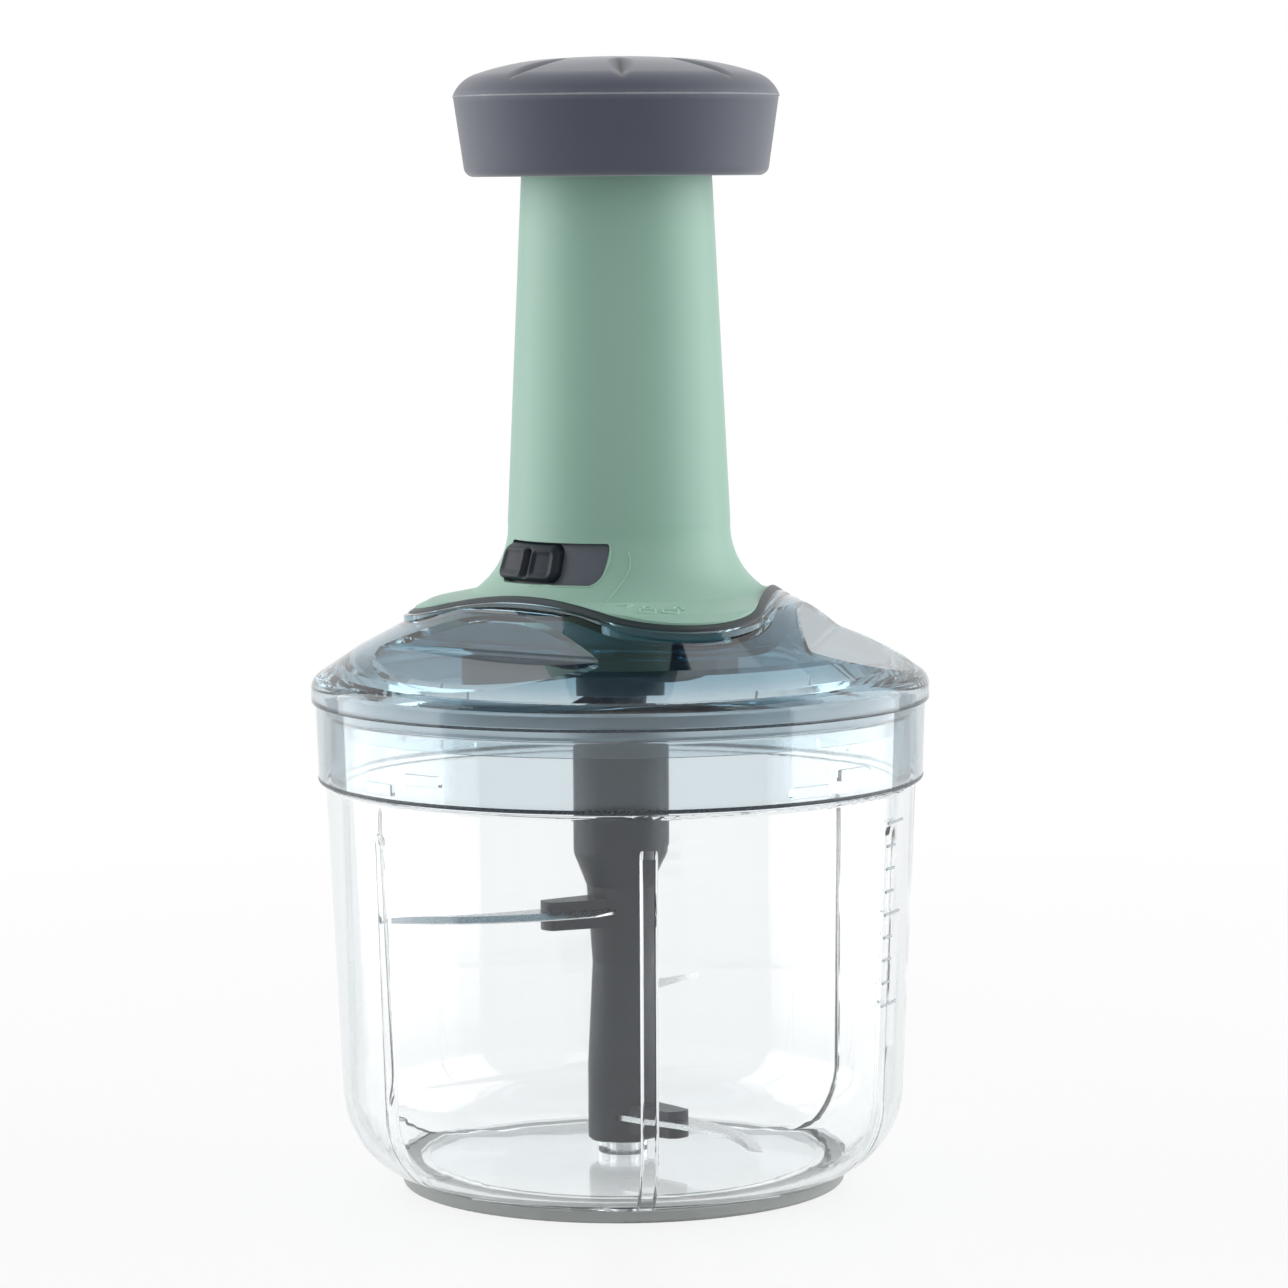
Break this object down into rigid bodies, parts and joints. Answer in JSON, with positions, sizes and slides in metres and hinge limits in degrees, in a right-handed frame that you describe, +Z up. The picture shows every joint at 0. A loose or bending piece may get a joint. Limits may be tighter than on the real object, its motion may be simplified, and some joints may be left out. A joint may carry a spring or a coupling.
{
  "type": "plunger food chopper",
  "caption": "Hand-pumped food chopper: a knob on a long column spins sickle blades inside a clear bowl under a domed, see-through lid.",
  "frame": {"origin": "middle of the foot ring's underside, on the surface that the chopper stands on", "axes": "+Z up along the column, -Y towards the front, where the lock's window is at the left, +X to the right"},
  "size_m": [0.1364, 0.1364, 0.2482],
  "materials": {
    "clear_plastic": "clear moulded plastic, glossy",
    "tinted_plastic": "blue-grey see-through plastic, glossy",
    "mint_plastic": "mint green, satin",
    "soft_slate": "slate grey soft-touch",
    "dark_plastic": "dark grey, satin",
    "grey_plastic": "slate grey, satin",
    "black_plastic": "black, smooth",
    "white_plastic": "natural acetal",
    "soft_pale": "pale grey soft ring",
    "soft_clear": "translucent silicone",
    "soft_grey": "grey silicone",
    "steel": "stainless steel"
  },
  "bodies": {
    "bowl": {"bowl": "clear_plastic", "foot_ring": "soft_pale", "pivot_pin": "steel"},
    "blade_unit": {"blade_hub": "black_plastic", "hub_bush": "white_plastic", "lower_blade": "steel", "middle_blade": "steel", "upper_blade": "steel"},
    "seal": {"lid_seal": "soft_clear"},
    "lid": {"lid": "tinted_plastic", "column": "mint_plastic", "guide_bush": "white_plastic", "column_gasket": "soft_grey", "lock_retainer": "dark_plastic", "thrust_washer": "steel", "output_bush": "white_plastic", "drive_housing": "grey_plastic", "housing_screws": "steel", "spring_seat": "white_plastic", "return_spring": "steel"},
    "lock": {"lock_ring": "dark_plastic", "lock_button": "dark_plastic"},
    "plunger": {"plunger_tube": "mint_plastic", "drive_nut": "white_plastic", "knob_body": "soft_slate", "knob_cover": "soft_slate", "knob_screws": "steel"},
    "spindle": {"spindle": "steel", "ratchet_driver": "white_plastic", "ratchet_driven": "white_plastic", "output_coupling": "black_plastic"}
  },
  "joints": [
    {"name": "blade_spin", "type": "hinge", "parent": "bowl", "child": "blade_unit", "pos_m": [0, 0, 0.016], "axis": [0, 0, 1], "range_deg": [-540, 0]},
    {"name": "lid_lift", "type": "slide", "parent": "bowl", "child": "seal", "axis": [0, 0, 1], "range_m": [0, 0.15]},
    {"name": "lid_turn", "type": "hinge", "parent": "seal", "child": "lid", "pos_m": [0, 0, 0.107], "axis": [0, 0, 1], "range_deg": [0, 12]},
    {"name": "plunger_press", "type": "slide", "parent": "lid", "child": "plunger", "axis": [0, 0, 1], "range_m": [0, 0.06], "deforming": ["return_spring"]},
    {"name": "spindle_turn", "type": "hinge", "parent": "lid", "child": "spindle", "pos_m": [0, 0, 0.12], "axis": [0, 0, 1], "range_deg": [-540, 0]},
    {"name": "lock_turn", "type": "hinge", "parent": "lid", "child": "lock", "pos_m": [0, 0, 0.139], "axis": [0, 0, 1], "range_deg": [0, 20]}
  ],
  "couplings": [
    {"joint": "spindle_turn", "follows": "plunger_press", "rad_per_m": -157.08},
    {"joint": "blade_spin", "follows": "plunger_press", "rad_per_m": -157.08}
  ]
}
